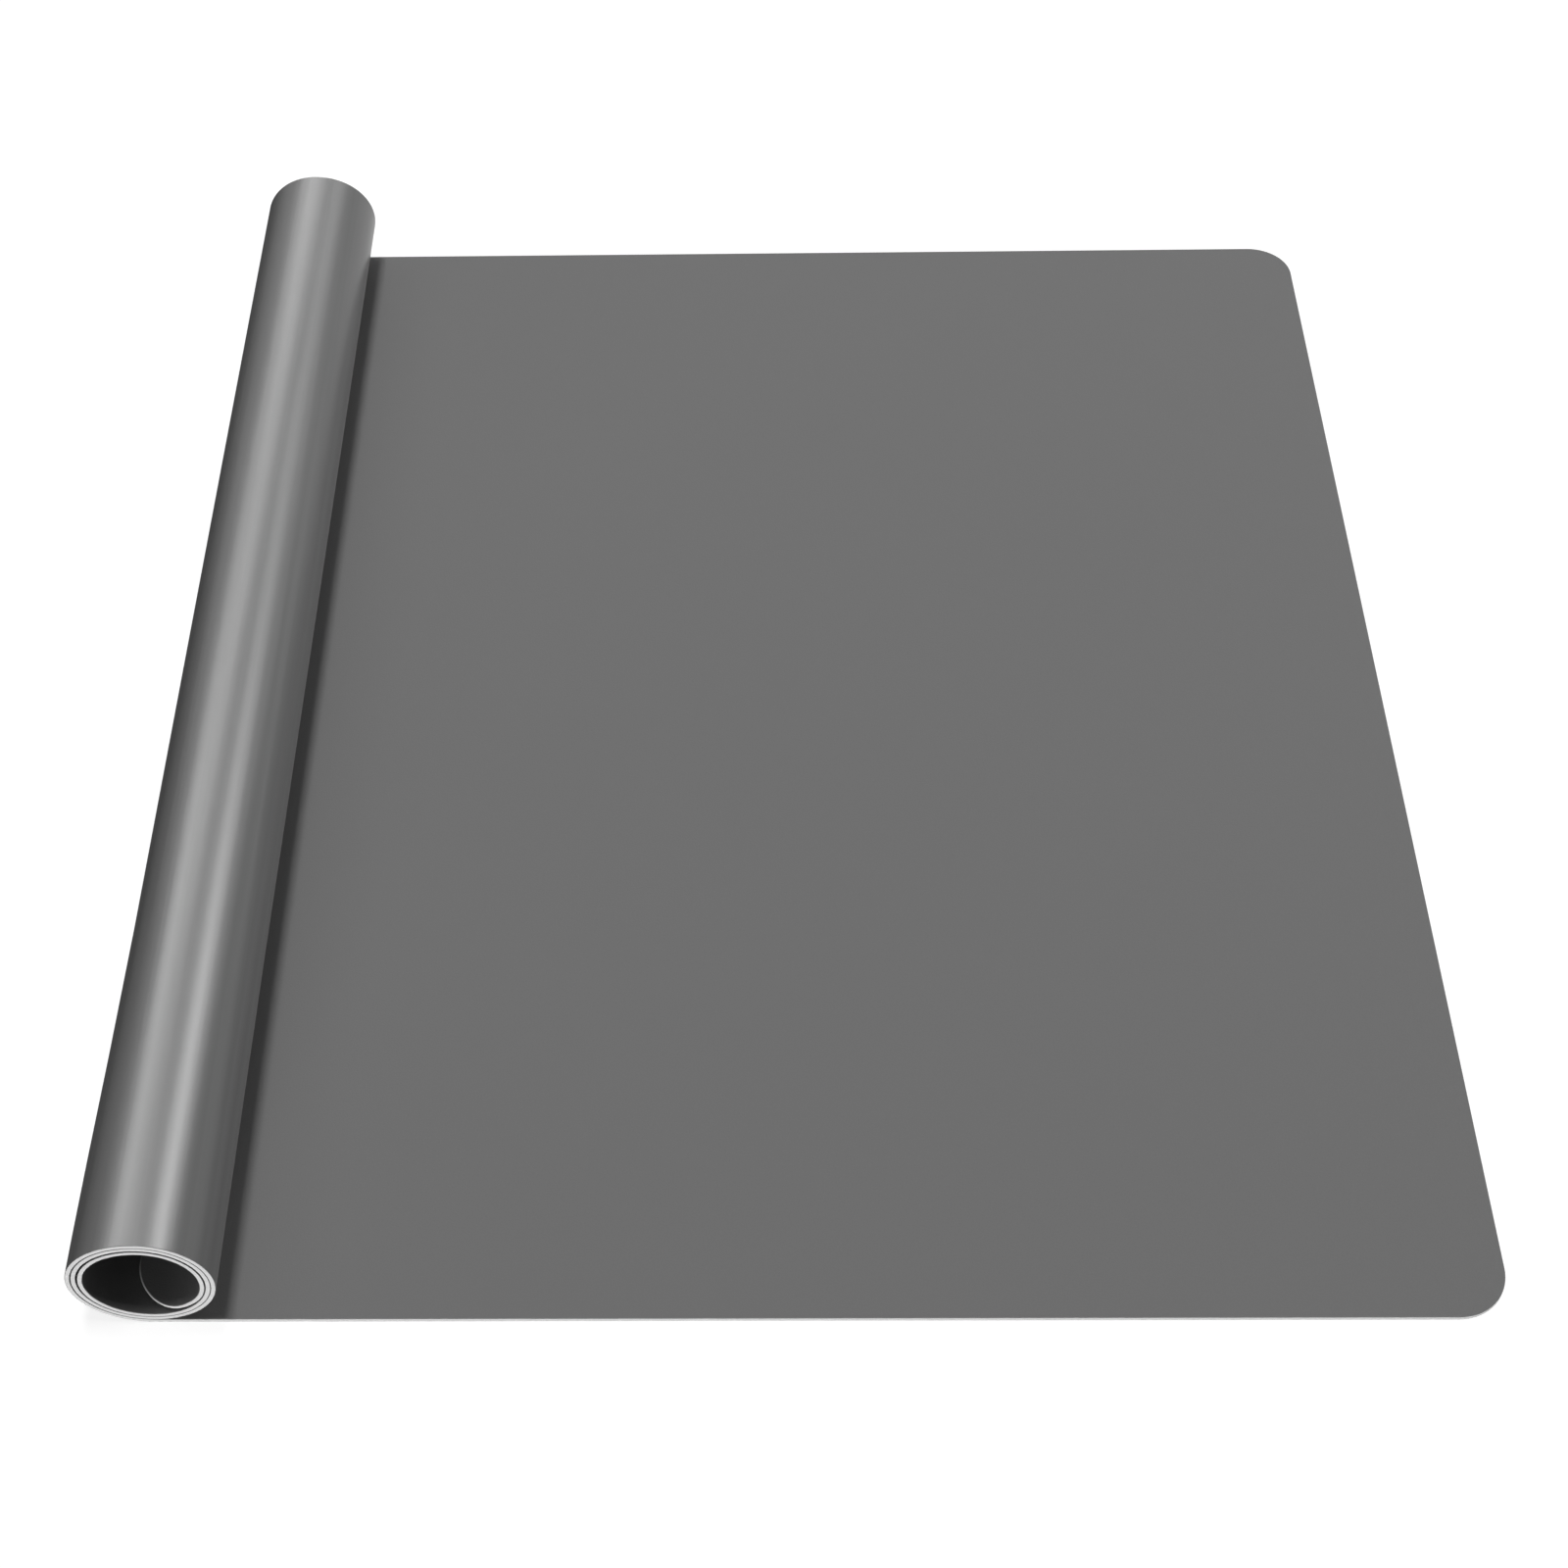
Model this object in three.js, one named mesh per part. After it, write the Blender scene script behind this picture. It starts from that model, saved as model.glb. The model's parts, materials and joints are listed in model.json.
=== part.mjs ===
// Silicone countertop mat: one thin rubber sheet on a counter, its left side still rolled up.
// The sheet is divided at its bend lines into strips, each carried by the one before it, so that
// the roll can open out flat and the free edge can be lifted and curled back.
// Millimetres, +Z up. The sheet runs along X: free edge on the right, roll on the left.

import * as THREE from 'three';

// Sheet, measured flat
const SHEET_LENGTH = 610;
const SHEET_WIDTH = 400;
const THICKNESS = 1.2;
const CORNER_RADIUS = 13;

// Roll: its outside radius, the air between two turns, and the strips that make it up
const ROLL_RADIUS = 17.7;
const TURN_GAP = 0.2;
const ROLL_TURNS = 3;
const STRIPS_PER_TURN = 8;

// Free edge: the strips that lift, and the angle that each one bends up from the one before
const EDGE_STRIPS = 8;
const EDGE_STRIP_LENGTH = 20;
const EDGE_BEND = THREE.MathUtils.degToRad(18);

// Gap that a bend line still has when its strips have turned as far as they go
const BEND_CLEARANCE = 0.06;

// Facets along one strip's arc and round one corner, and the least length of a facet
const ARC_STEPS = 6;
const CORNER_STEPS = 6;
const LEAST_FACET = 0.1;

// Finish
const SILICONE_GREY = 0x6e6e6e;
const SILICONE_ROUGHNESS = 0.5;

// Each roll strip turns by the same angle. Its radius shrinks by one share of the pitch, which
// makes every turn lie parallel to the next one.
const ROLL_BEND = (2 * Math.PI) / STRIPS_PER_TURN;
const ROLL_STRIPS = ROLL_TURNS * STRIPS_PER_TURN;
const TURN_PITCH = THICKNESS + TURN_GAP;
const stripRadius = (index) => ROLL_RADIUS - THICKNESS / 2 - (TURN_PITCH * index) / STRIPS_PER_TURN;
const stripLength = (index) => stripRadius(index) * ROLL_BEND;

// The lead strip, half as long as the others, starts the curl and stays with the flat panel.
const LEAD_LENGTH = stripLength(0) / 2;
const STRIP_INDEXES = Array.from({ length: ROLL_STRIPS }, (_, i) => i + 1);
const ROLLED_LENGTH = STRIP_INDEXES.reduce((sum, index) => sum + stripLength(index), LEAD_LENGTH);
const PANEL_LENGTH = SHEET_LENGTH - ROLLED_LENGTH - EDGE_STRIPS * EDGE_STRIP_LENGTH;

// A roll strip turns about a line just outside the sheet's middle, where the chord between two
// bend lines is as long as the strip itself. The opened roll then has the sheet's real length.
const bendOffset = (index) => stripRadius(index) * (ROLL_BEND / 2 / Math.sin(ROLL_BEND / 2) - 1);

// Width of the slit at a bend line: the closing side of a strip's end face moves this far. The
// offset is the bend line's distance from the sheet's middle, towards the closing side.
const bendGap = (bend, offset) => (THICKNESS - 2 * offset) * Math.tan(bend / 2) + BEND_CLEARANCE;
const ROLL_GAP = bendGap(ROLL_BEND, bendOffset(ROLL_STRIPS));
const EDGE_GAP = bendGap(EDGE_BEND, 0);

// Half the sheet's width at a distance from its nearest end, where the corners are round
function halfWidth(toEnd) {
  const intoCorner = Math.min(Math.max(CORNER_RADIUS - toEnd, 0), CORNER_RADIUS);
  const inset = CORNER_RADIUS - Math.sqrt(CORNER_RADIUS ** 2 - intoCorner ** 2);
  return SHEET_WIDTH / 2 - inset;
}

// Even steps from one end of a strip to the other, with the steps of a round corner between them
function stations(from, to, steps, startToEnd) {
  const runs = Array.from({ length: steps + 1 }, (_, i) => from + ((to - from) * i) / steps);
  for (let i = 1; i <= CORNER_STEPS; i += 1) {
    const angle = ((Math.PI / 2) * i) / CORNER_STEPS;
    const run = startToEnd - CORNER_RADIUS * (1 - Math.cos(angle));
    const clear = runs.every((other) => Math.abs(other - run) > LEAST_FACET);
    if (run > from && run < to && clear) {
      runs.push(run);
    }
  }
  return runs.sort((a, b) => a - b);
}

// Paths of the sheet's middle in a strip's own frame: x along the run, z to the inner or upper side
const flatPath = (run) => ({ x: run, z: 0, angle: 0 });

function arcPath(radius, offset) {
  return (run) => {
    const angle = run / radius;
    return { x: radius * Math.sin(angle), z: offset + radius * (1 - Math.cos(angle)), angle };
  };
}

// A closed band of the sheet's thickness that follows a path through the given stations
function bandGeometry(path, runs, startToEnd) {
  const positions = [];
  const faces = [];
  runs.forEach((run) => {
    const { x, z, angle } = path(run);
    const half = halfWidth(startToEnd - run);
    const dx = (-Math.sin(angle) * THICKNESS) / 2;
    const dz = (Math.cos(angle) * THICKNESS) / 2;
    positions.push(x - dx, -half, z - dz);
    positions.push(x - dx, half, z - dz);
    positions.push(x + dx, half, z + dz);
    positions.push(x + dx, -half, z + dz);
  });
  const last = 4 * (runs.length - 1);
  for (let ring = 0; ring < last; ring += 4) {
    for (let side = 0; side < 4; side += 1) {
      const a = ring + side;
      const b = ring + ((side + 1) % 4);
      faces.push(a, b, b + 4, a, b + 4, a + 4);
    }
  }
  faces.push(0, 3, 2, 0, 2, 1);
  faces.push(last, last + 1, last + 2, last, last + 2, last + 3);
  const geometry = new THREE.BufferGeometry();
  geometry.setAttribute('position', new THREE.Float32BufferAttribute(positions, 3));
  geometry.setIndex(faces);
  geometry.computeVertexNormals();
  return geometry;
}

function siliconeMesh(name, geometry) {
  const material = new THREE.MeshStandardMaterial({
    color: SILICONE_GREY,
    roughness: SILICONE_ROUGHNESS,
    metalness: 0,
  });
  const mesh = new THREE.Mesh(geometry, material);
  mesh.name = name;
  return mesh;
}

const numbered = (name, index) => `${name}_${String(index).padStart(2, '0')}`;

// The flat part. A station under the roll's overhang keeps the open work face a face of its own.
function spreadPanel() {
  const runs = [ROLL_GAP / 2, ROLL_RADIUS, PANEL_LENGTH - EDGE_GAP / 2];
  return siliconeMesh('spread_panel', bandGeometry(flatPath, runs, SHEET_LENGTH));
}

// A strip of the roll between two bend lines, in the frame of the first one
function rollStrip(name, index, length, offset, startToEnd) {
  const farEnd = index === ROLL_STRIPS ? length : length - ROLL_GAP / 2;
  const runs = stations(ROLL_GAP / 2, farEnd, ARC_STEPS, startToEnd);
  const path = arcPath(stripRadius(index), offset);
  return siliconeMesh(name, bandGeometry(path, runs, startToEnd));
}

// The frame of the bend line at the far end of a strip
function nextRollBend(index, length, offset) {
  const { x, z, angle } = arcPath(stripRadius(index), offset)(length);
  const outward = bendOffset(index + 1);
  const bend = new THREE.Group();
  bend.name = numbered('roll_bend', index + 1);
  bend.position.set(x + outward * Math.sin(angle), 0, z - outward * Math.cos(angle));
  bend.rotation.y = -angle;
  return bend;
}

// The roll: it runs away from the panel towards -X, then up, over and inside
function roll() {
  const start = new THREE.Group();
  start.rotation.z = Math.PI;
  let toEnd = ROLLED_LENGTH;
  start.add(rollStrip('lead_strip', 0, LEAD_LENGTH, 0, toEnd));
  let bend = nextRollBend(0, LEAD_LENGTH, 0);
  start.add(bend);
  toEnd -= LEAD_LENGTH;
  STRIP_INDEXES.forEach((index) => {
    const length = stripLength(index);
    bend.add(rollStrip(numbered('roll_strip', index), index, length, bendOffset(index), toEnd));
    if (index < ROLL_STRIPS) {
      const next = nextRollBend(index, length, bendOffset(index));
      bend.add(next);
      bend = next;
    }
    toEnd -= length;
  });
  return start;
}

// The free edge: flat strips, each carried by the bend line of the one before
function freeEdge() {
  const start = new THREE.Group();
  start.position.x = PANEL_LENGTH;
  let carrier = start;
  for (let index = 1; index <= EDGE_STRIPS; index += 1) {
    const bend = new THREE.Group();
    bend.name = numbered('edge_bend', index);
    bend.position.x = index === 1 ? 0 : EDGE_STRIP_LENGTH;
    const toEnd = (EDGE_STRIPS - index + 1) * EDGE_STRIP_LENGTH;
    const farEnd = index === EDGE_STRIPS ? EDGE_STRIP_LENGTH : EDGE_STRIP_LENGTH - EDGE_GAP / 2;
    const runs = stations(EDGE_GAP / 2, farEnd, 1, toEnd);
    bend.add(siliconeMesh(numbered('edge_strip', index), bandGeometry(flatPath, runs, toEnd)));
    carrier.add(bend);
    carrier = bend;
  }
  return start;
}

// The whole mat, moved so that the middle of its footprint on the counter is the origin
const sheet = new THREE.Group();
sheet.add(spreadPanel(), roll(), freeEdge());
const box = new THREE.Box3().setFromObject(sheet, true);
const middle = box.getCenter(new THREE.Vector3());
sheet.position.set(-middle.x, -middle.y, -box.min.z);

const mat = new THREE.Group();
mat.add(sheet);

export default mat;
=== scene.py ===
# %% [markdown]
# # A silicone countertop mat, half rolled up
#
# The mat is one thin sheet of grey silicone. Most of it lies flat on a counter, and its left side is
# still rolled up. The frame holds the sheet as rigid strips with a hinge between each two, which is
# what a simulation needs. Here the strips are replaced by soft folds that run on without a break, so
# that the mat looks like one sheet at rest.

# %% Load the frame
import json
import math

import bpy
import numpy as np
from mathutils import Matrix, Vector


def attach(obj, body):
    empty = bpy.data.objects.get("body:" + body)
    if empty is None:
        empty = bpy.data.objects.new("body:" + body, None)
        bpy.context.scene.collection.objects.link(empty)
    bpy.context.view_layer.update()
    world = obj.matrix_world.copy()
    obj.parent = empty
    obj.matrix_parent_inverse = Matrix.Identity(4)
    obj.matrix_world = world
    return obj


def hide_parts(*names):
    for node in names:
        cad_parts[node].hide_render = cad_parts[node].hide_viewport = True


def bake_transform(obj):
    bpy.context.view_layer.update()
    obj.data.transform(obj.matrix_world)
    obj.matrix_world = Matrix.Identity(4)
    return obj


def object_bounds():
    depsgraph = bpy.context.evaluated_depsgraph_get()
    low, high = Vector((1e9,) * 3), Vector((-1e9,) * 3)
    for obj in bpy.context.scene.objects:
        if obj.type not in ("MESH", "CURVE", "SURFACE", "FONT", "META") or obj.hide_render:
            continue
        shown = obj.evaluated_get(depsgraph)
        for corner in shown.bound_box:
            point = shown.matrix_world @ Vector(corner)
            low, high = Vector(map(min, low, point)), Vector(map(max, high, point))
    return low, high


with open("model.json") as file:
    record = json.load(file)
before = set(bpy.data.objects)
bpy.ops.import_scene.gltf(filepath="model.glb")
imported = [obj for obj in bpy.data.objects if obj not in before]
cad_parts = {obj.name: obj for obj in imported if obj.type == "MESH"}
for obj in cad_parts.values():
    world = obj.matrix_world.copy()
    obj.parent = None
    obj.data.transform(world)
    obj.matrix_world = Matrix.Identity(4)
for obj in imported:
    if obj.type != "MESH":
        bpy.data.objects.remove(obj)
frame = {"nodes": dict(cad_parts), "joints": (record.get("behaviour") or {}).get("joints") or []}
cad_low, cad_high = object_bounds()
hinges = {joint["name"]: joint for joint in frame["joints"]}
print("frame:", len(frame["nodes"]), "rigid pieces,", len(hinges), "hinges")

# %% [markdown]
# ## The sheet's sizes
#
# All lengths are in metres. They repeat the sizes of the strips in the frame: the flat sheet, the
# radius of its roll, the air between two turns, and the strips along the roll and the free edge.

# %% Sizes
SHEET_LENGTH = 0.610
SHEET_WIDTH = 0.400
THICKNESS = 0.0012
CORNER_RADIUS = 0.013
ROLL_RADIUS = 0.0177
TURN_GAP = 0.0002
ROLL_TURNS = 3
STRIPS_PER_TURN = 8
EDGE_STRIPS = 8
EDGE_STRIP_LENGTH = 0.020

FULL_TURN = 2 * math.pi
TURN_PITCH = THICKNESS + TURN_GAP
ROLL_STRIPS = ROLL_TURNS * STRIPS_PER_TURN
STRIP_BEND = FULL_TURN / STRIPS_PER_TURN
print("sheet:", SHEET_LENGTH, "by", SHEET_WIDTH, "m,", ROLL_STRIPS, "roll strips")

# %% [markdown]
# ## The line that the sheet follows
#
# Seen from its end, the roll is a spiral. It could be drawn as one mathematical spiral, but the frame
# builds it from short arcs, each a little tighter than the last, and the folds have to meet the same
# hinges. So the same arcs are used: each arc's centre lies on the line from the last centre to the
# point where the two arcs touch, which keeps the sheet smooth there. The first arc is half as long as
# the others, because it stays with the flat part.

# %% Arcs of the roll
strip_numbers = np.arange(ROLL_STRIPS + 1)
strip_radii = ROLL_RADIUS - THICKNESS / 2 - TURN_PITCH * strip_numbers / STRIPS_PER_TURN
strip_lengths = strip_radii * STRIP_BEND
strip_lengths[0] /= 2
strip_starts = np.cumsum(strip_lengths) - strip_lengths
start_angles = np.maximum(strip_numbers - 0.5, 0) * STRIP_BEND
inner_angle = start_angles[-1] + STRIP_BEND
rolled_length = strip_lengths.sum()
flat_length = SHEET_LENGTH - rolled_length
flat_left = cad_high.x - flat_length

shrink = np.concatenate([[0], strip_radii[:-1] - strip_radii[1:]])
touching = -np.stack([np.sin(start_angles), np.cos(start_angles)], axis=1)
arc_centres = np.cumsum(shrink[:, None] * touching, axis=0)
arc_centres += [flat_left, THICKNESS / 2 + strip_radii[0]]
print("rolled up:", round(rolled_length, 4), "m, flat:", round(flat_length, 4), "m")

# %% [markdown]
# ## A roll that has settled
#
# A real roll isn't as even as the strips of the frame. Its turns close up, the last one hangs a little
# loose and ends in a tongue that stands off, and both ends of the roll open slightly. A simulation could
# loosen the roll, but not in the way that the picture shows. So each form is a small distance, worked out
# from the angle that the sheet has turned, and its size is set from the picture.

# %% Looseness of the turns
TURN_CLOSING = 0.00016
INNER_SLACK = 0.00035
SLACK_FROM, SLACK_FULL = 1.84, 2.24
TONGUE_LIFT = 0.0012
TONGUE_BEND = math.pi / 2
TONGUE_PEAK = 4 / 27


def smooth_step(value):
    """0 below 0, 1 above 1, and a smooth rise between: three squares less two cubes."""
    value = np.clip(value, 0, 1)
    return value * value * (3 - 2 * value)


def turn_shift(turned):
    """How far the sheet lies inside its arc. Each turn moves outwards by the same closing, until the
    turns all but touch. The last turn hangs loose at the top, by the slack times half of one minus the
    cosine of the angle, which grows in smoothly. The last quarter turn is a tongue that stands off, by
    the square of the share of that quarter times one minus the share, over the peak of that product."""
    turns = turned / FULL_TURN
    grown = smooth_step((turns - SLACK_FROM) / (SLACK_FULL - SLACK_FROM))
    slack = INNER_SLACK * grown * (1 - np.cos(turned)) / 2
    share = np.clip(1 - (inner_angle - turned) / TONGUE_BEND, 0, 1)
    tongue = TONGUE_LIFT * share ** 2 * (1 - share) / TONGUE_PEAK
    return slack + tongue - TURN_CLOSING * turns


angles = np.linspace(0, inner_angle, 500)
print("the sheet lies inside its arcs by up to", round(turn_shift(angles).max(), 5), "m")

# %% Opening of the roll's ends
NEAR_FLARE = 0.0011
FAR_FLARE = 0.0012
FLARE_START = -0.25
NEAR_FADE, FAR_FADE = 0.1, 0.2


def end_flare(turned, across):
    """How far the roll opens at its ends: to the left over the last quarter at the near end, and to the
    right from there to the far end. It is most where the sheet faces that way, by the square of the
    sine of the angle, and fades by a share with each turn."""
    share = across / SHEET_WIDTH
    nearer = smooth_step((FLARE_START - share) / (FLARE_START + 0.5))
    farther = np.clip((share - FLARE_START) / (0.5 - FLARE_START), 0, 1)
    turns = turned / FULL_TURN
    to_left = NEAR_FLARE * nearer * np.maximum(np.sin(turned), 0) ** 2 * (1 - NEAR_FADE * turns)
    to_right = FAR_FLARE * farther * np.minimum(np.sin(turned), 0) ** 2 * (1 - FAR_FADE * turns)
    return to_left + to_right


print("the roll opens by", NEAR_FLARE, "m at the near end and", FAR_FLARE, "m at the far end")


# %% Place of a point of the sheet
def sheet_points(run, across, height):
    """Points of the sheet. run counts along the sheet from the inner end of the roll, across from its
    middle line, and height from the middle of its thickness. On the flat part a point is simply moved
    along. On the roll it is found from its arc: the centre, plus the radius less the height, turned by
    the arc's first angle and by the distance into the arc over its radius."""
    into_roll = rolled_length - run
    strip = np.searchsorted(strip_starts, into_roll, side="right") - 1
    strip = np.clip(strip, 0, ROLL_STRIPS)
    into_strip = np.maximum(into_roll - strip_starts[strip], 0)
    turned = start_angles[strip] + into_strip / strip_radii[strip]
    reach = strip_radii[strip] - height - turn_shift(turned) + end_flare(turned, across)
    flat = np.maximum(-into_roll, 0)
    x = arc_centres[strip, 0] - reach * np.sin(turned) + flat
    z = arc_centres[strip, 1] - reach * np.cos(turned)
    return np.stack([x, across, z], axis=-1)


ends = sheet_points(np.array([0, SHEET_LENGTH]), np.zeros(2), np.zeros(2))
print("inner end at", ends[0].round(4), "free edge at", ends[1].round(4))

# %% [markdown]
# ## A length of the sheet as a mesh
#
# Every piece of the mat is a length of the same sheet: an upper face, an underside and a cut edge with
# its two corners just broken. A box with a Bevel modifier would give the edge, but not the round corners
# of the sheet. So each piece is worked out as a grid of rows along the sheet and columns across it, and
# the cut edge is a small profile that is carried round the outline of that grid. The columns crowd
# together towards the sides, where the shading changes most.

# %% Columns, and the profile of the cut edge
CUT_ROUNDING = 0.00013
ROUNDING_STEPS = 4
HALF_COLUMNS = np.array([0, 0.25, 0.5, 0.7, 0.85, 0.95, 0.99, 0.9985, 1.0])
COLUMNS = np.concatenate([-HALF_COLUMNS[:0:-1], HALF_COLUMNS])


def edge_profile():
    """Inset and height of the cut edge from the underside to the upper face: a quarter circle, a
    straight wall and a quarter circle."""
    angle = np.linspace(0, math.pi / 2, ROUNDING_STEPS + 1)
    inset = CUT_ROUNDING * (1 - np.sin(angle))
    height = CUT_ROUNDING * (1 - np.cos(angle)) - THICKNESS / 2
    return np.concatenate([inset, inset[::-1]]), np.concatenate([height, -height[::-1]])


PROFILE_INSET, PROFILE_HEIGHT = edge_profile()
print("cut edge:", len(PROFILE_INSET), "points, upper face:", len(COLUMNS), "columns")

# %% Rows along a piece
CORNER_STEPS = 18


def even_rows(start, end, steps):
    """Rows from start to end that crowd together at both ends, by the cosine of an even angle, so
    that the shading of two pieces agrees where they meet."""
    return (start + end) / 2 - (end - start) / 2 * np.cos(np.linspace(0, math.pi, steps + 1))


def outline_rows(start, end, steps):
    """Run, half width and outward direction of the outline at each row, and whether the piece is the
    first or the last of the sheet. Along the sides the outline faces across. Round a corner it turns by
    equal angles, from across to along the sheet."""
    first = start <= 0
    last = end >= SHEET_LENGTH
    run = even_rows(start + CORNER_RADIUS * first, end - CORNER_RADIUS * last, steps)
    turn = np.zeros(len(run))
    angle = np.linspace(0, math.pi / 2, CORNER_STEPS + 1)[1:]
    if first:
        run = np.concatenate([CORNER_RADIUS * (1 - np.sin(angle[::-1])), run])
        turn = np.concatenate([-angle[::-1], turn])
    if last:
        run = np.concatenate([run, SHEET_LENGTH - CORNER_RADIUS * (1 - np.sin(angle))])
        turn = np.concatenate([turn, angle])
    half = SHEET_WIDTH / 2 - CORNER_RADIUS * (1 - np.cos(turn))
    return run, half, np.sin(turn), np.cos(turn), first, last


corner_rows = outline_rows(SHEET_LENGTH - 2 * CORNER_RADIUS, SHEET_LENGTH, CORNER_STEPS)
print("free corners:", len(corner_rows[0]), "rows, width at the end", round(2 * corner_rows[1][-1], 4))

# %% Faces and edges of a grid
WORK_FACE, UNDERSIDE, CUT_EDGE = range(3)
PROFILE_FINISH = np.repeat([UNDERSIDE, CUT_EDGE, WORK_FACE], [ROUNDING_STEPS, 1, ROUNDING_STEPS])


def grid_faces(index):
    """Four-sided faces between the point numbers of a grid."""
    corners = [index[:-1, :-1], index[1:, :-1], index[1:, 1:], index[:-1, 1:]]
    return np.stack(corners, axis=-1).reshape(-1, 4)


def edge_chains(count, width, first, last):
    """Rows and columns of the points along the cut edge. A piece at an end of the sheet has one chain
    round that end. Any other piece has two chains, one along each side."""
    right = np.stack([np.arange(count), np.full(count, width - 1)])
    left = np.stack([np.arange(count)[::-1], np.zeros(count, int)])
    between = np.arange(1, width - 1)
    if last:
        tip = np.stack([np.full(width - 2, count - 1), between[::-1]])
        return [np.concatenate([right, tip, left], axis=1)]
    if first:
        tip = np.stack([np.zeros(width - 2, int), between])
        return [np.concatenate([left, tip, right], axis=1)]
    return [right, left]


print("faces round a section:", 2 * (len(COLUMNS) - 1) + 2 * len(PROFILE_FINISH))

# %% A skin that grows into a mesh
SHARP_ANGLE = math.radians(60)


class Skin:
    """Points of the sheet and faces between them, added part by part. A point is kept as its run,
    across and height on the flat sheet. It is bent to its place only when the mesh is made."""

    def __init__(self):
        self.points = np.zeros((0, 3))
        self.faces = []
        self.finishes = []

    def add_points(self, run, across, height):
        """Adds a grid of points, and gives their numbers in the same grid."""
        grid = np.stack(np.broadcast_arrays(run, across, height), axis=-1)
        numbers = len(self.points) + np.arange(grid[..., 0].size)
        self.points = np.concatenate([self.points, grid.reshape(-1, 3)])
        return numbers.reshape(grid.shape[:-1])

    def add_faces(self, faces, finish):
        """Adds faces, each a row of point numbers, with one finish for all or one for each."""
        self.faces += faces.tolist()
        self.finishes.append(np.broadcast_to(finish, len(faces)))

    def mesh(self, name):
        """The bent mesh. Its texture map gives each point's run and across, in metres."""
        run, across, height = self.points.T
        mesh = bpy.data.meshes.new(name)
        mesh.from_pydata(sheet_points(run, across, height).tolist(), [], self.faces)
        mesh.polygons.foreach_set("material_index", np.concatenate(self.finishes).astype(np.int32))
        mesh.shade_smooth()
        mesh.set_sharp_from_angle(angle=SHARP_ANGLE)
        corners = np.zeros(len(mesh.loops), np.int32)
        mesh.loops.foreach_get("vertex_index", corners)
        flat_place = np.stack([run, across + SHEET_WIDTH / 2], axis=1)
        layer = mesh.uv_layers.new(name="flat_place")
        layer.data.foreach_set("uv", flat_place[corners].astype(np.float32).ravel())
        mesh.update()
        return mesh


print("edges sharper than", round(math.degrees(SHARP_ANGLE)), "degrees stay sharp")

# %% [markdown]
# ## Ends that stay closed
#
# Two neighbouring pieces meet at a flat section. When the mat bends, their two sections turn by different
# angles, and a slit of up to 0.15 mm opens between them on the stretched side. All pieces could be joined
# in one mesh, but a piece can follow one hinge only. So each joining end has a lip, a slightly smaller
# section that reaches into the next piece. It is the floor of the slit, which is left as a fine groove.

# %% Lip at a joining end
LIP_REACH = 0.00014
LIP_INSET = 0.00003
LIP_SHRINK = 1 - 2 * LIP_INSET / np.array([SHEET_WIDTH, THICKNESS])


def add_lip(skin, lower, upper, left, right, order):
    """Closes a section with a lip. The section's points run once round it: along the underside, up the
    right edge, back along the upper face and down the left edge. The lip's foot and its end are the same
    points, drawn in, and the end is moved on by the reach. A flat cap closes it. Order is 1 at the start
    of a piece and -1 at its end, where every face turns the other way."""
    section = np.concatenate([lower, right[1:-1], upper[::-1], left[-2:0:-1]])
    run, across, height = skin.points[section].T
    moved = run - order * LIP_REACH * np.array([[0], [1]])
    lip = skin.add_points(moved, across * LIP_SHRINK[0], height * LIP_SHRINK[1])
    rings = np.concatenate([section[None], lip])
    rings = np.concatenate([rings, rings[:, :1]], axis=1)
    plain = np.ones(len(lower) - 1, int)
    finish = [UNDERSIDE * plain, PROFILE_FINISH, WORK_FACE * plain, PROFILE_FINISH[::-1]]
    skin.add_faces(grid_faces(rings)[:, ::order], np.concatenate(finish * 2))

    parts = np.cumsum([len(lower), len(right) - 2, len(upper)])
    under, right_side, over, left_side = np.split(lip[1], parts)
    over = over[::-1]
    cap = grid_faces(np.stack([under, over]))
    left_cap = np.concatenate([under[:1], left_side[::-1], over[:1]])
    right_cap = np.concatenate([over[-1:], right_side[::-1], under[-1:]])
    skin.add_faces(cap[:, ::order], WORK_FACE)
    skin.add_faces(np.stack([left_cap, right_cap])[:, ::order], WORK_FACE)


print("lip:", LIP_REACH, "m long, drawn in by", LIP_INSET, "m")


# %% Mesh of a piece
def sheet_mesh(name, start, end, steps):
    """A closed length of the sheet from one run to another. The faces are grids of rows and columns,
    drawn in by the rounding of the edge. The edge is the profile at every point of the outline. Each
    end that isn't an end of the sheet gets a lip."""
    run, half, along, aside, first, last = outline_rows(start, end, steps)
    count, width = len(run), len(COLUMNS)
    skin = Skin()
    face_run = (run - CUT_ROUNDING * along)[:, None]
    face_across = (half - CUT_ROUNDING * aside)[:, None] * COLUMNS
    lower = skin.add_points(face_run, face_across, -THICKNESS / 2)
    upper = skin.add_points(face_run, face_across, THICKNESS / 2)
    skin.add_faces(grid_faces(upper), WORK_FACE)
    skin.add_faces(grid_faces(lower)[:, ::-1], UNDERSIDE)

    inset, height = PROFILE_INSET[1:-1, None], PROFILE_HEIGHT[1:-1, None]
    rims = {}
    for row, column in edge_chains(count, width, first, last):
        edge_run = run[row] - inset * along[row]
        edge_across = (half[row] - inset * aside[row]) * COLUMNS[column]
        edge = skin.add_points(edge_run, edge_across, height)
        edge = np.concatenate([lower[row, column][None], edge, upper[row, column][None]])
        skin.add_faces(grid_faces(edge), np.repeat(PROFILE_FINISH, len(row) - 1))
        rims[row[0], column[0]] = edge[:, 0]
        rims[row[-1], column[-1]] = edge[:, -1]

    for row, is_tip, order in ((0, first, 1), (count - 1, last, -1)):
        if not is_tip:
            add_lip(skin, lower[row], upper[row], rims[row, 0], rims[row, width - 1], order)
    return skin.mesh(name)


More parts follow.
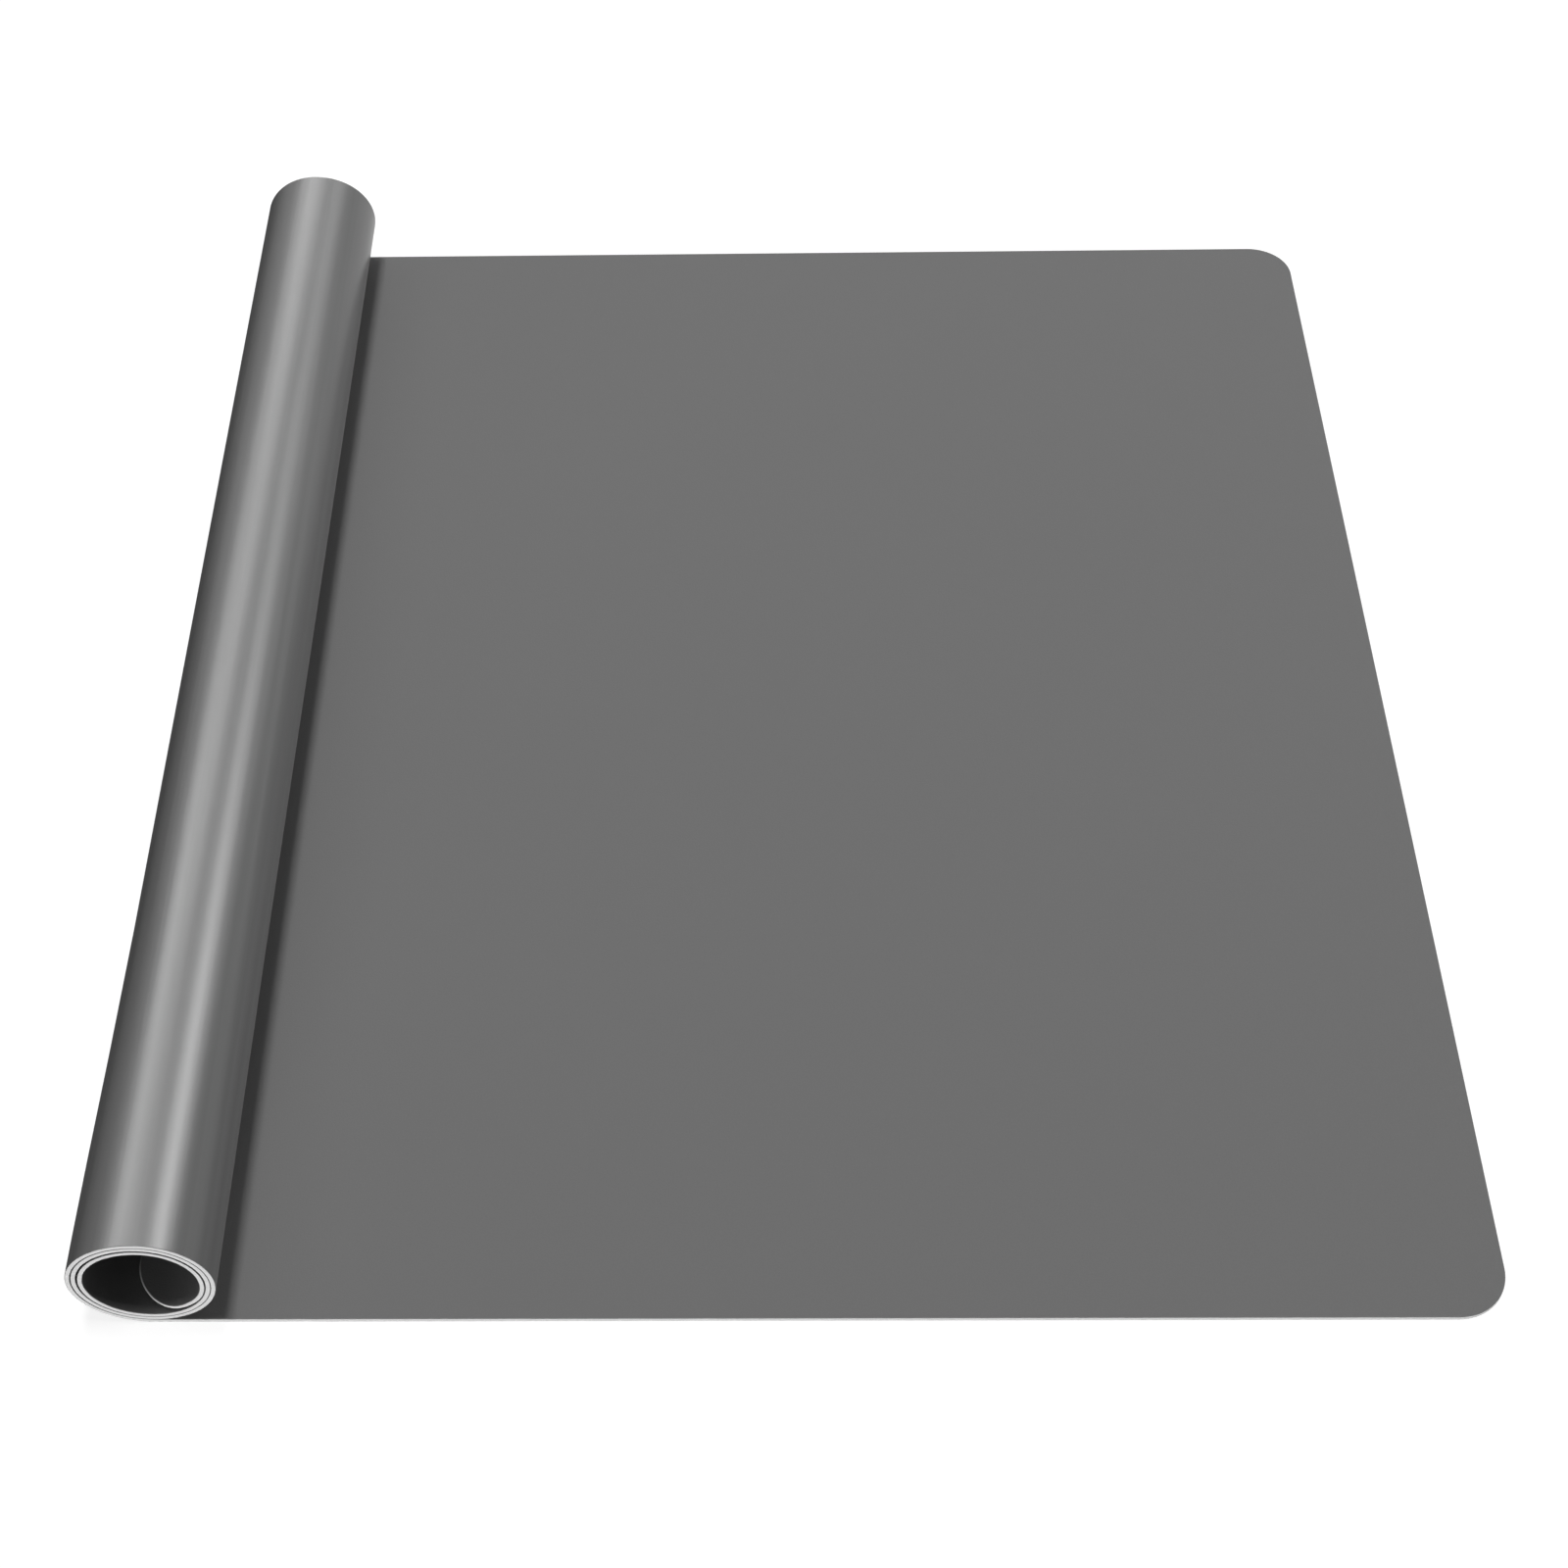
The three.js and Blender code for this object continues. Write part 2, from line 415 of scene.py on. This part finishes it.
print("piece: upper face, underside, cut edge, and a lip at each joining end")

# %% [markdown]
# ## A shader written as sums
#
# Shader nodes can be added one by one, but a formula is easier to read. This small class holds one
# output of a node. Plus, minus and times on it add a Math node, and its `node` method adds any other
# node.


# %% Shader values
class Wire:
    """An output of a shader node. Arithmetic on it adds Math nodes to the same node tree."""

    def __init__(self, tree, socket):
        self.tree = tree
        self.socket = socket

    @classmethod
    def node(cls, tree, kind, settings=None, sockets=None, output=0):
        """Adds a node of a type. Its settings come first, then the numbers or links of its sockets. The
        result is one of its outputs, if it has any."""
        made = tree.nodes.new(kind)
        for key, value in (settings or {}).items():
            setattr(made, key, value)
        for key, value in (sockets or {}).items():
            if isinstance(value, Wire):
                tree.links.new(value.socket, made.inputs[key])
            else:
                made.inputs[key].default_value = value
        return cls(tree, made.outputs[output]) if made.outputs else None

    def output(self, name):
        """Another output of the same node."""
        return Wire(self.tree, self.socket.node.outputs[name])

    def math(self, operation, first, second):
        """A Math node on two values, in the same node tree."""
        return Wire.node(self.tree, "ShaderNodeMath", {"operation": operation}, {0: first, 1: second})

    def __add__(self, other):
        return self.math("ADD", self, other)

    def __radd__(self, other):
        return self.math("ADD", other, self)

    def __sub__(self, other):
        return self.math("SUBTRACT", self, other)

    def __rsub__(self, other):
        return self.math("SUBTRACT", other, self)

    def __mul__(self, other):
        return self.math("MULTIPLY", self, other)

    def __rmul__(self, other):
        return self.math("MULTIPLY", other, self)


print("shader sums: plus, minus and times")


# %% Node trees and ramps
def empty_tree(owner):
    """The emptied node tree of a material or a world."""
    owner.use_nodes = True
    owner.node_tree.nodes.clear()
    return owner.node_tree


def smooth_ramp(value, start, end, low, high):
    """From low to high as a value goes from start to end, by three squares less two cubes."""
    return Wire.node(value.tree, "ShaderNodeMapRange", {"interpolation_type": "SMOOTHSTEP"},
                     {"Value": value, "From Min": start, "From Max": end, "To Min": low, "To Max": high})


print("shader parts: empty tree and smooth ramp")

# %% [markdown]
# ## Three finishes of one silicone
#
# The mat is one grey silicone, but its faces differ, so each has a finish of its own. Patterns could be
# laid over the object's space, but then they would slide when the mat bends. So they follow the sheet's
# own flat coordinates. Counts of a pattern are per metre, along and across the sheet, and the depths of
# reliefs are in metres.

# %% Parts that the finishes share
SILICONE_IOR = 1.43


def new_finish(name):
    """A material with an empty node tree, and its flat coordinates in metres."""
    material = bpy.data.materials.new(name)
    tree = empty_tree(material)
    return material, Wire.node(tree, "ShaderNodeUVMap", {"uv_map": "flat_place"})


def noise(place, per_metre, detail, roughness=0.5):
    """Smooth noise from 0 to 1 on the flat sheet, with its own count per metre along and across."""
    stretched = Wire.node(place.tree, "ShaderNodeVectorMath", {"operation": "MULTIPLY"},
                          {0: place, 1: (*per_metre, 1.0)})
    return Wire.node(place.tree, "ShaderNodeTexNoise", {"noise_dimensions": "2D"},
                     {"Vector": stretched, "Scale": 1.0, "Detail": detail, "Roughness": roughness})


def silicone(brightness, roughness, relief, depth, gloss):
    """A grey Principled surface whose brightness, roughness and relief change over the sheet."""
    tree = relief.tree
    grey = Wire.node(tree, "ShaderNodeCombineColor", None,
                     {"Red": brightness, "Green": brightness, "Blue": brightness})
    bump = Wire.node(tree, "ShaderNodeBump", None,
                     {"Strength": 1.0, "Distance": depth, "Height": relief})
    surface = Wire.node(tree, "ShaderNodeBsdfPrincipled", None,
                        {"Base Color": grey, "Roughness": roughness, "Normal": bump,
                         "Specular IOR Level": gloss, "IOR": SILICONE_IOR})
    Wire.node(tree, "ShaderNodeOutputMaterial", None, {"Surface": surface})


print("silicone: index of refraction", SILICONE_IOR)

# %% [markdown]
# ### Matt upper face
#
# The upper face comes from a mould with a fine grain, which makes it matt. One plain grey would look like
# paint. So a fine grain and faint clouds vary it, and the grain is also its relief.

# %% Matt upper face
FACE_GREY = 0.153
FACE_CLOUDING = 0.03
FACE_SPECKLE = 0.014
FACE_ROUGHNESS = 0.74
FACE_UNEVENNESS = 0.06
FACE_GLOSS = 0.10
FACE_RELIEF = 0.00003

work_face, place = new_finish("silicone_work_face")
grain = noise(place, (2600, 2600), detail=1.0)
cloud = noise(place, (9, 9), detail=3.0)
silicone(brightness=FACE_GREY * (1 + FACE_CLOUDING * (cloud - 0.5)) - FACE_SPECKLE * (grain - 0.5),
         roughness=FACE_ROUGHNESS + FACE_UNEVENNESS * (cloud + grain),
         relief=grain, depth=FACE_RELIEF, gloss=FACE_GLOSS)
print("finish:", work_face.name)

# %% [markdown]
# ### Smooth underside
#
# The underside is what shows on the outside of the roll. It is smoother, with a soft gloss and faint
# lines along the roll. Each line could be drawn, but they are too many and too faint. So they are noise
# that is stretched across the sheet: many to the metre along it, few across it.

# %% Smooth underside
UNDER_GREY = 0.071
UNDER_LINES = 0.03
UNDER_CLOUDING = 0.01
UNDER_ROUGHNESS = 0.285
LINE_ROUGHNESS = 0.10
CLOUD_ROUGHNESS = 0.04
UNDER_GRAIN = 0.15
UNDER_GLOSS = 0.38
UNDER_RELIEF = 0.00004

underside, place = new_finish("silicone_underside")
grain = noise(place, (1800, 1800), detail=1.0)
lines = noise(place, (320, 3), detail=3.0, roughness=0.6)
cloud = noise(place, (14, 6), detail=3.0)
silicone(brightness=UNDER_GREY + UNDER_LINES * lines + UNDER_CLOUDING * (cloud - 0.5),
         roughness=UNDER_ROUGHNESS + LINE_ROUGHNESS * lines + CLOUD_ROUGHNESS * cloud,
         relief=lines + UNDER_GRAIN * grain, depth=UNDER_RELIEF, gloss=UNDER_GLOSS)
print("finish:", underside.name)

# %% [markdown]
# ### Paler cut edge, with painted light and painted shade
#
# Where the sheet was cut, it is rough and paler, and its pale grey is raised further as painted light on
# the cut edges. Its inner end, deep in the roll, is painted dark as painted shade. A second finish could
# be given to that end, but then a border would show. So the grey fades from the pale one to the painted
# shade along the sheet, over the last millimetres before the inner end.

# %% Paler cut edge, with painted light and painted shade
# Painted shade at the inner end, and a pale grey that is partly painted light on the cut edges.
CUT_PAINTED_SHADE, CUT_PALE_AND_PAINTED_LIGHT = 0.09, 0.47
CUT_SHADE_FADE = 0.009
CUT_SPECKLE = 0.10
CUT_ROUGHNESS = 0.6
CUT_UNEVENNESS = 0.1
CUT_GLOSS = 0.3
CUT_RELIEF = 0.00003

cut_edge, place = new_finish("silicone_cut_edge")
grain = noise(place, (1500, 1500), detail=2.0)
along = Wire.node(place.tree, "ShaderNodeSeparateXYZ", None, {"Vector": place}, output="X")
# The grey goes from the painted shade at the inner end to the pale grey with its painted light.
cut_grey_with_painted_shade_and_light = smooth_ramp(along, 0.0, CUT_SHADE_FADE, CUT_PAINTED_SHADE, CUT_PALE_AND_PAINTED_LIGHT)
silicone(brightness=cut_grey_with_painted_shade_and_light + CUT_SPECKLE * (grain - 0.5),
         roughness=CUT_ROUGHNESS + CUT_UNEVENNESS * grain,
         relief=grain, depth=CUT_RELIEF, gloss=CUT_GLOSS)
print("finish:", cut_edge.name)

# %% [markdown]
# ## Pieces of the sheet
#
# One piece lies still: the flat part. The rest is cut into folds, each of which spans one hinge, from the
# middle of the strip before it to the middle of the strip after it. For each fold the reach of a blend
# between the two strips' bodies is worked out, but the fold isn't blended or bent. The reach is set so
# that two folds would have the same direction where they meet: 1.30 strip lengths each way on the roll,
# 1.365 on the free edge.

# %% Helpers for pieces
ROLL_REACH = 1.30
EDGE_REACH = 1.365


def sheet_piece(name, start, end, steps, *replaced):
    """A piece of the sheet with its three finishes, standing for the given strips of the frame."""
    mesh = sheet_mesh(name, start, end, steps)
    for finish in (work_face, underside, cut_edge):
        mesh.materials.append(finish)
    piece = bpy.data.objects.new(name, mesh)
    bpy.context.scene.collection.objects.link(piece)
    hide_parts(*replaced)
    return piece


def hinge_of(name, number):
    """The frame's hinge of that number: the first of a row carries the plain name."""
    return hinges[name if number == 1 else f"{name}_{number:02d}"]


def blend_fold(piece, hinge, heading, reach):
    """Works out the two ends of the reach before and after a hinge along a heading, which nothing uses,
    and bakes the piece's place into its mesh. The piece isn't bent.
    """
    pivot = np.array(hinge["pos_m"])
    step = reach * np.array(heading)
    tuple(pivot - step)
    tuple(pivot + step)
    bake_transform(piece)


print("blend reach:", ROLL_REACH, "strips on the roll,", EDGE_REACH, "on the free edge")

# %% Still flat part
FLAT_ROWS = 12
half_bend = STRIP_BEND / 2
first_reach = ROLL_REACH * strip_lengths[1]
# The first fold's blend would be tilted by half a bend, and would start this far along the flat part.
flat_reach = (first_reach - strip_radii[0] * math.sin(half_bend)) / math.cos(half_bend)
still_left = rolled_length + flat_reach
edge_start = SHEET_LENGTH - EDGE_STRIPS * EDGE_STRIP_LENGTH
still_right = edge_start - EDGE_REACH * EDGE_STRIP_LENGTH
flat_part = sheet_piece("spread_sheet", still_left, still_right, FLAT_ROWS, "spread_panel", "lead_strip")
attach(flat_part, "sheet")
print("flat part:", round(still_right - still_left, 4), "m long,", len(flat_part.data.polygons), "faces")

# %% Folds of the roll
ROLL_ROWS = 36
strip_middles = rolled_length - strip_starts - strip_lengths / 2
strip_middles[0] = still_left
strip_middles[-1] = 0
for number in range(1, ROLL_STRIPS + 1):
    fold = sheet_piece(f"roll_fold_{number:02d}", strip_middles[number], strip_middles[number - 1],
                       ROLL_ROWS, f"roll_strip_{number:02d}")
    angle = start_angles[number]
    heading = (-math.cos(angle), 0, math.sin(angle))
    blend_fold(fold, hinge_of("unroll", number), heading, ROLL_REACH * strip_lengths[number])
print("roll:", ROLL_STRIPS, "folds,", len(fold.data.polygons), "faces in the last")

# %% Folds of the free edge
EDGE_ROWS = 12
ALONG_SHEET = (1, 0, 0)
edge_middles = edge_start + (np.arange(EDGE_STRIPS + 1) - 0.5) * EDGE_STRIP_LENGTH
edge_middles[0] = still_right
edge_middles[-1] = SHEET_LENGTH
for number in range(1, EDGE_STRIPS + 1):
    fold = sheet_piece(f"edge_fold_{number:02d}", edge_middles[number - 1], edge_middles[number],
                       EDGE_ROWS, f"edge_strip_{number:02d}")
    blend_fold(fold, hinge_of("lift", number), ALONG_SHEET, EDGE_REACH * EDGE_STRIP_LENGTH)
print("free edge:", EDGE_STRIPS, "folds,", len(fold.data.polygons), "faces in the last")

# %% [markdown]
# ## Floor and surroundings
#
# The mat lies on a plain white surface with nothing around it. A white floor that is only lit would need
# so much light that the grey mat turns pale. So the floor is a darker one that adds its own white, which
# only the camera and mirrored rays see. That white grows to full strength away from the mat. Beside the
# mat the lamps add what is missing, so that the floor still shows the mat's shadow.


# %% Helpers for the surroundings
def plate(name, low, high, height):
    """A flat rectangle between two opposite corners, at a height."""
    corners = [(low[0], low[1], height), (high[0], low[1], height),
               (high[0], high[1], height), (low[0], high[1], height)]
    mesh = bpy.data.meshes.new(name)
    mesh.from_pydata(corners, [], [(0, 1, 2, 3)])
    made = bpy.data.objects.new(name, mesh)
    bpy.context.scene.collection.objects.link(made)
    return made


def white_seen_directly(tree):
    """1 for rays from the camera, and for mirrored and transmitted rays, 0 for rays that only light."""
    seen = Wire.node(tree, "ShaderNodeLightPath", output="Is Camera Ray")
    mirrored = seen.math("MAXIMUM", seen, seen.output("Is Glossy Ray"))
    return seen.math("MAXIMUM", mirrored, seen.output("Is Transmission Ray"))


print("white for: camera, mirrored and transmitted rays")

# %% Floor
WHITE = (1, 1, 1, 1)
FLOOR_SIDE = 8.0
FLOOR_GREY = (0.25, 0.25, 0.25, 1)
FLOOR_GLOW = 0.85
GLOW_NEAR, GLOW_FAR = 0.6, 2.0

floor = plate("floor", (-FLOOR_SIDE / 2, -FLOOR_SIDE / 2), (FLOOR_SIDE / 2, FLOOR_SIDE / 2), 0)
floor_paint = bpy.data.materials.new("floor_white")
tree = empty_tree(floor_paint)
place = Wire.node(tree, "ShaderNodeTexCoord", output="Object")
distance = Wire.node(tree, "ShaderNodeVectorMath", {"operation": "LENGTH"}, {0: place}, output="Value")
white = smooth_ramp(distance, GLOW_NEAR, GLOW_FAR, FLOOR_GLOW, 1.0) * white_seen_directly(tree)
matt = Wire.node(tree, "ShaderNodeBsdfDiffuse", None, {"Color": FLOOR_GREY})
glow = Wire.node(tree, "ShaderNodeEmission", None, {"Color": WHITE, "Strength": white})
both = Wire.node(tree, "ShaderNodeAddShader", None, {0: matt, 1: glow})
Wire.node(tree, "ShaderNodeOutputMaterial", None, {"Surface": both})
floor.data.materials.append(floor_paint)
print("floor:", FLOOR_SIDE, "m square")

# %% [markdown]
# ### Dark card
#
# A white floor whitens the rim of a glossy roll. The floor could be made darker, but then its white would
# be lost. So a dark card lies beside the roll, as in a studio, and only reflections see it.

# %% Dark card
CARD_LOW, CARD_HIGH = (-1.5, -1.0), (-0.18, 1.2)
CARD_HEIGHT = 0.0003
CARD_GREY = (0.02, 0.02, 0.02, 1)

card = plate("dark_card", CARD_LOW, CARD_HIGH, CARD_HEIGHT)
card.visible_camera = False
card.visible_diffuse = False
card.visible_shadow = False
card_paint = bpy.data.materials.new("card_black")
tree = empty_tree(card_paint)
matt = Wire.node(tree, "ShaderNodeBsdfDiffuse", None, {"Color": CARD_GREY})
Wire.node(tree, "ShaderNodeOutputMaterial", None, {"Surface": matt})
card.data.materials.append(card_paint)
print("dark card: seen only in reflections, left of the roll")

# %% [markdown]
# ### World
#
# All round the mat is plain white. A white world would also light the mat from every side and flatten it.
# So the world is white only for the camera and for reflections, and sheds a dim light on the rest.

# %% World
AMBIENT = 0.06
world = bpy.data.worlds.new("studio")
bpy.context.scene.world = world
tree = empty_tree(world)
strength = AMBIENT + (1 - AMBIENT) * white_seen_directly(tree)
sky = Wire.node(tree, "ShaderNodeBackground", None, {"Color": WHITE, "Strength": strength})
Wire.node(tree, "ShaderNodeOutputWorld", None, {"Surface": sky})
bpy.context.scene.view_settings.view_transform = "Standard"
print("world: dim for the mat, white for the camera")

# %% [markdown]
# ## Studio lamps
#
# A broad soft box, high above and a little left of the roll, lights the flat part evenly. The bright
# lines along the roll are reflections of long strip lamps. A strong strip would also light the flat part
# and cast a shadow of the roll on it, so the strips only show in reflections. A low soft box on the right
# does the opposite: it lifts the roll's dark side, and no reflection shows it. A small one in front
# lights the cut edges.


# %% Lamps
def soft_box(name, place, length_to, target, size, power, lights=True, mirrored=True):
    """A rectangular lamp at a place, facing a target. Its long side points along a direction. A lamp
    may be left out of the plain light on surfaces, or out of their reflections."""
    lamp = bpy.data.lights.new(name, "AREA")
    lamp.shape = "RECTANGLE"
    lamp.size, lamp.size_y = size
    lamp.energy = power
    holder = bpy.data.objects.new(name, lamp)
    back = (Vector(place) - Vector(target)).normalized()
    width_axis = back.cross(Vector(length_to)).normalized()
    length_axis = width_axis.cross(back)
    facing = Matrix((length_axis, width_axis, back)).transposed()
    holder.matrix_world = Matrix.Translation(place) @ facing.to_4x4()
    holder.visible_diffuse = lights
    holder.visible_glossy = mirrored
    bpy.context.scene.collection.objects.link(holder)


# Each row: name, place, direction of the long side, target, length and width, watts.
roll_middle = (flat_left, 0, ROLL_RADIUS)
soft_box("overhead", (-0.34, 0.15, 3.5), (0, 1, 0), (-0.34, 0.15, 0), (1.4, 0.6), 83)
soft_box("strip_near", (-0.84, 0.30, 0.9), (0.04, 1, 0), roll_middle, (0.9, 0.30), 13.9, lights=False)
soft_box("strip_far", (-0.76, 1.25, 0.9), (0.12, 1, 0), roll_middle, (1.0, 0.34), 5.6, lights=False)
soft_box("glow_near", (-0.46, 0.25, 0.9), (0.04, 1, 0), roll_middle, (0.9, 0.40), 7.6, lights=False)
soft_box("glow_far", (-0.33, 1.20, 0.9), (0.14, 1, 0), roll_middle, (1.0, 0.46), 11.6, lights=False)
soft_box("right_near", (0.30, 0.30, 0.9), (0.15, 1, 0), roll_middle, (0.6, 0.36), 15.8, lights=False)
soft_box("right_far", (0.38, 1.10, 0.9), (0.15, 1, 0), roll_middle, (1.0, 0.36), 5.2, lights=False)
soft_box("right_low", (1.3, 0.55, 0.2), (0, 1, 0), roll_middle, (1.6, 0.25), 22, mirrored=False)
soft_box("front", (-0.32, -1.7, 0.07), (1, 0, 0), (-0.1, -0.2, 0.01), (0.4, 0.12), 28)

# %% [markdown]
# ## Camera
#
# The camera looks down at the mat from the front, a little left of its middle. Its place, angle and lens
# come from fitting the sheet's straight edges, its corners and the roll to the picture. The picture is
# cropped, so the middle of the lens isn't the middle of the frame: the lens is shifted to say so.

# %% Camera
CAMERA_PLACE = (flat_left + 0.14470, -SHEET_WIDTH / 2 - 0.32316, 0.57997)
LOOK_DOWN, LOOK_SIDEWAYS, TILT = np.radians([47.421, -1.635, -1.566])
SENSOR_WIDTH = 36
FOCAL_LENGTH = 62.342
LENS_SHIFT = (0.04913, -0.07132)

lens = bpy.data.cameras.new("camera")
lens.sensor_width = SENSOR_WIDTH
lens.lens = FOCAL_LENGTH
lens.shift_x, lens.shift_y = LENS_SHIFT
level = Vector((math.cos(LOOK_SIDEWAYS), -math.sin(LOOK_SIDEWAYS), 0))
ahead = Vector((math.sin(LOOK_SIDEWAYS), math.cos(LOOK_SIDEWAYS), 0))
forward = math.cos(LOOK_DOWN) * ahead - math.sin(LOOK_DOWN) * Vector((0, 0, 1))
right = math.cos(TILT) * level + math.sin(TILT) * level.cross(forward)
facing = Matrix((right, right.cross(forward), -forward)).transposed()
camera = bpy.data.objects.new("camera", lens)
camera.matrix_world = Matrix.Translation(CAMERA_PLACE) @ facing.to_4x4()
bpy.context.scene.collection.objects.link(camera)
bpy.context.scene.camera = camera
print("camera at", [round(value, 4) for value in camera.matrix_world.translation])

# %% [markdown]
#
# The folds may stand a little past the rigid strips.

# %% Finish
bpy.context.view_layer.update()
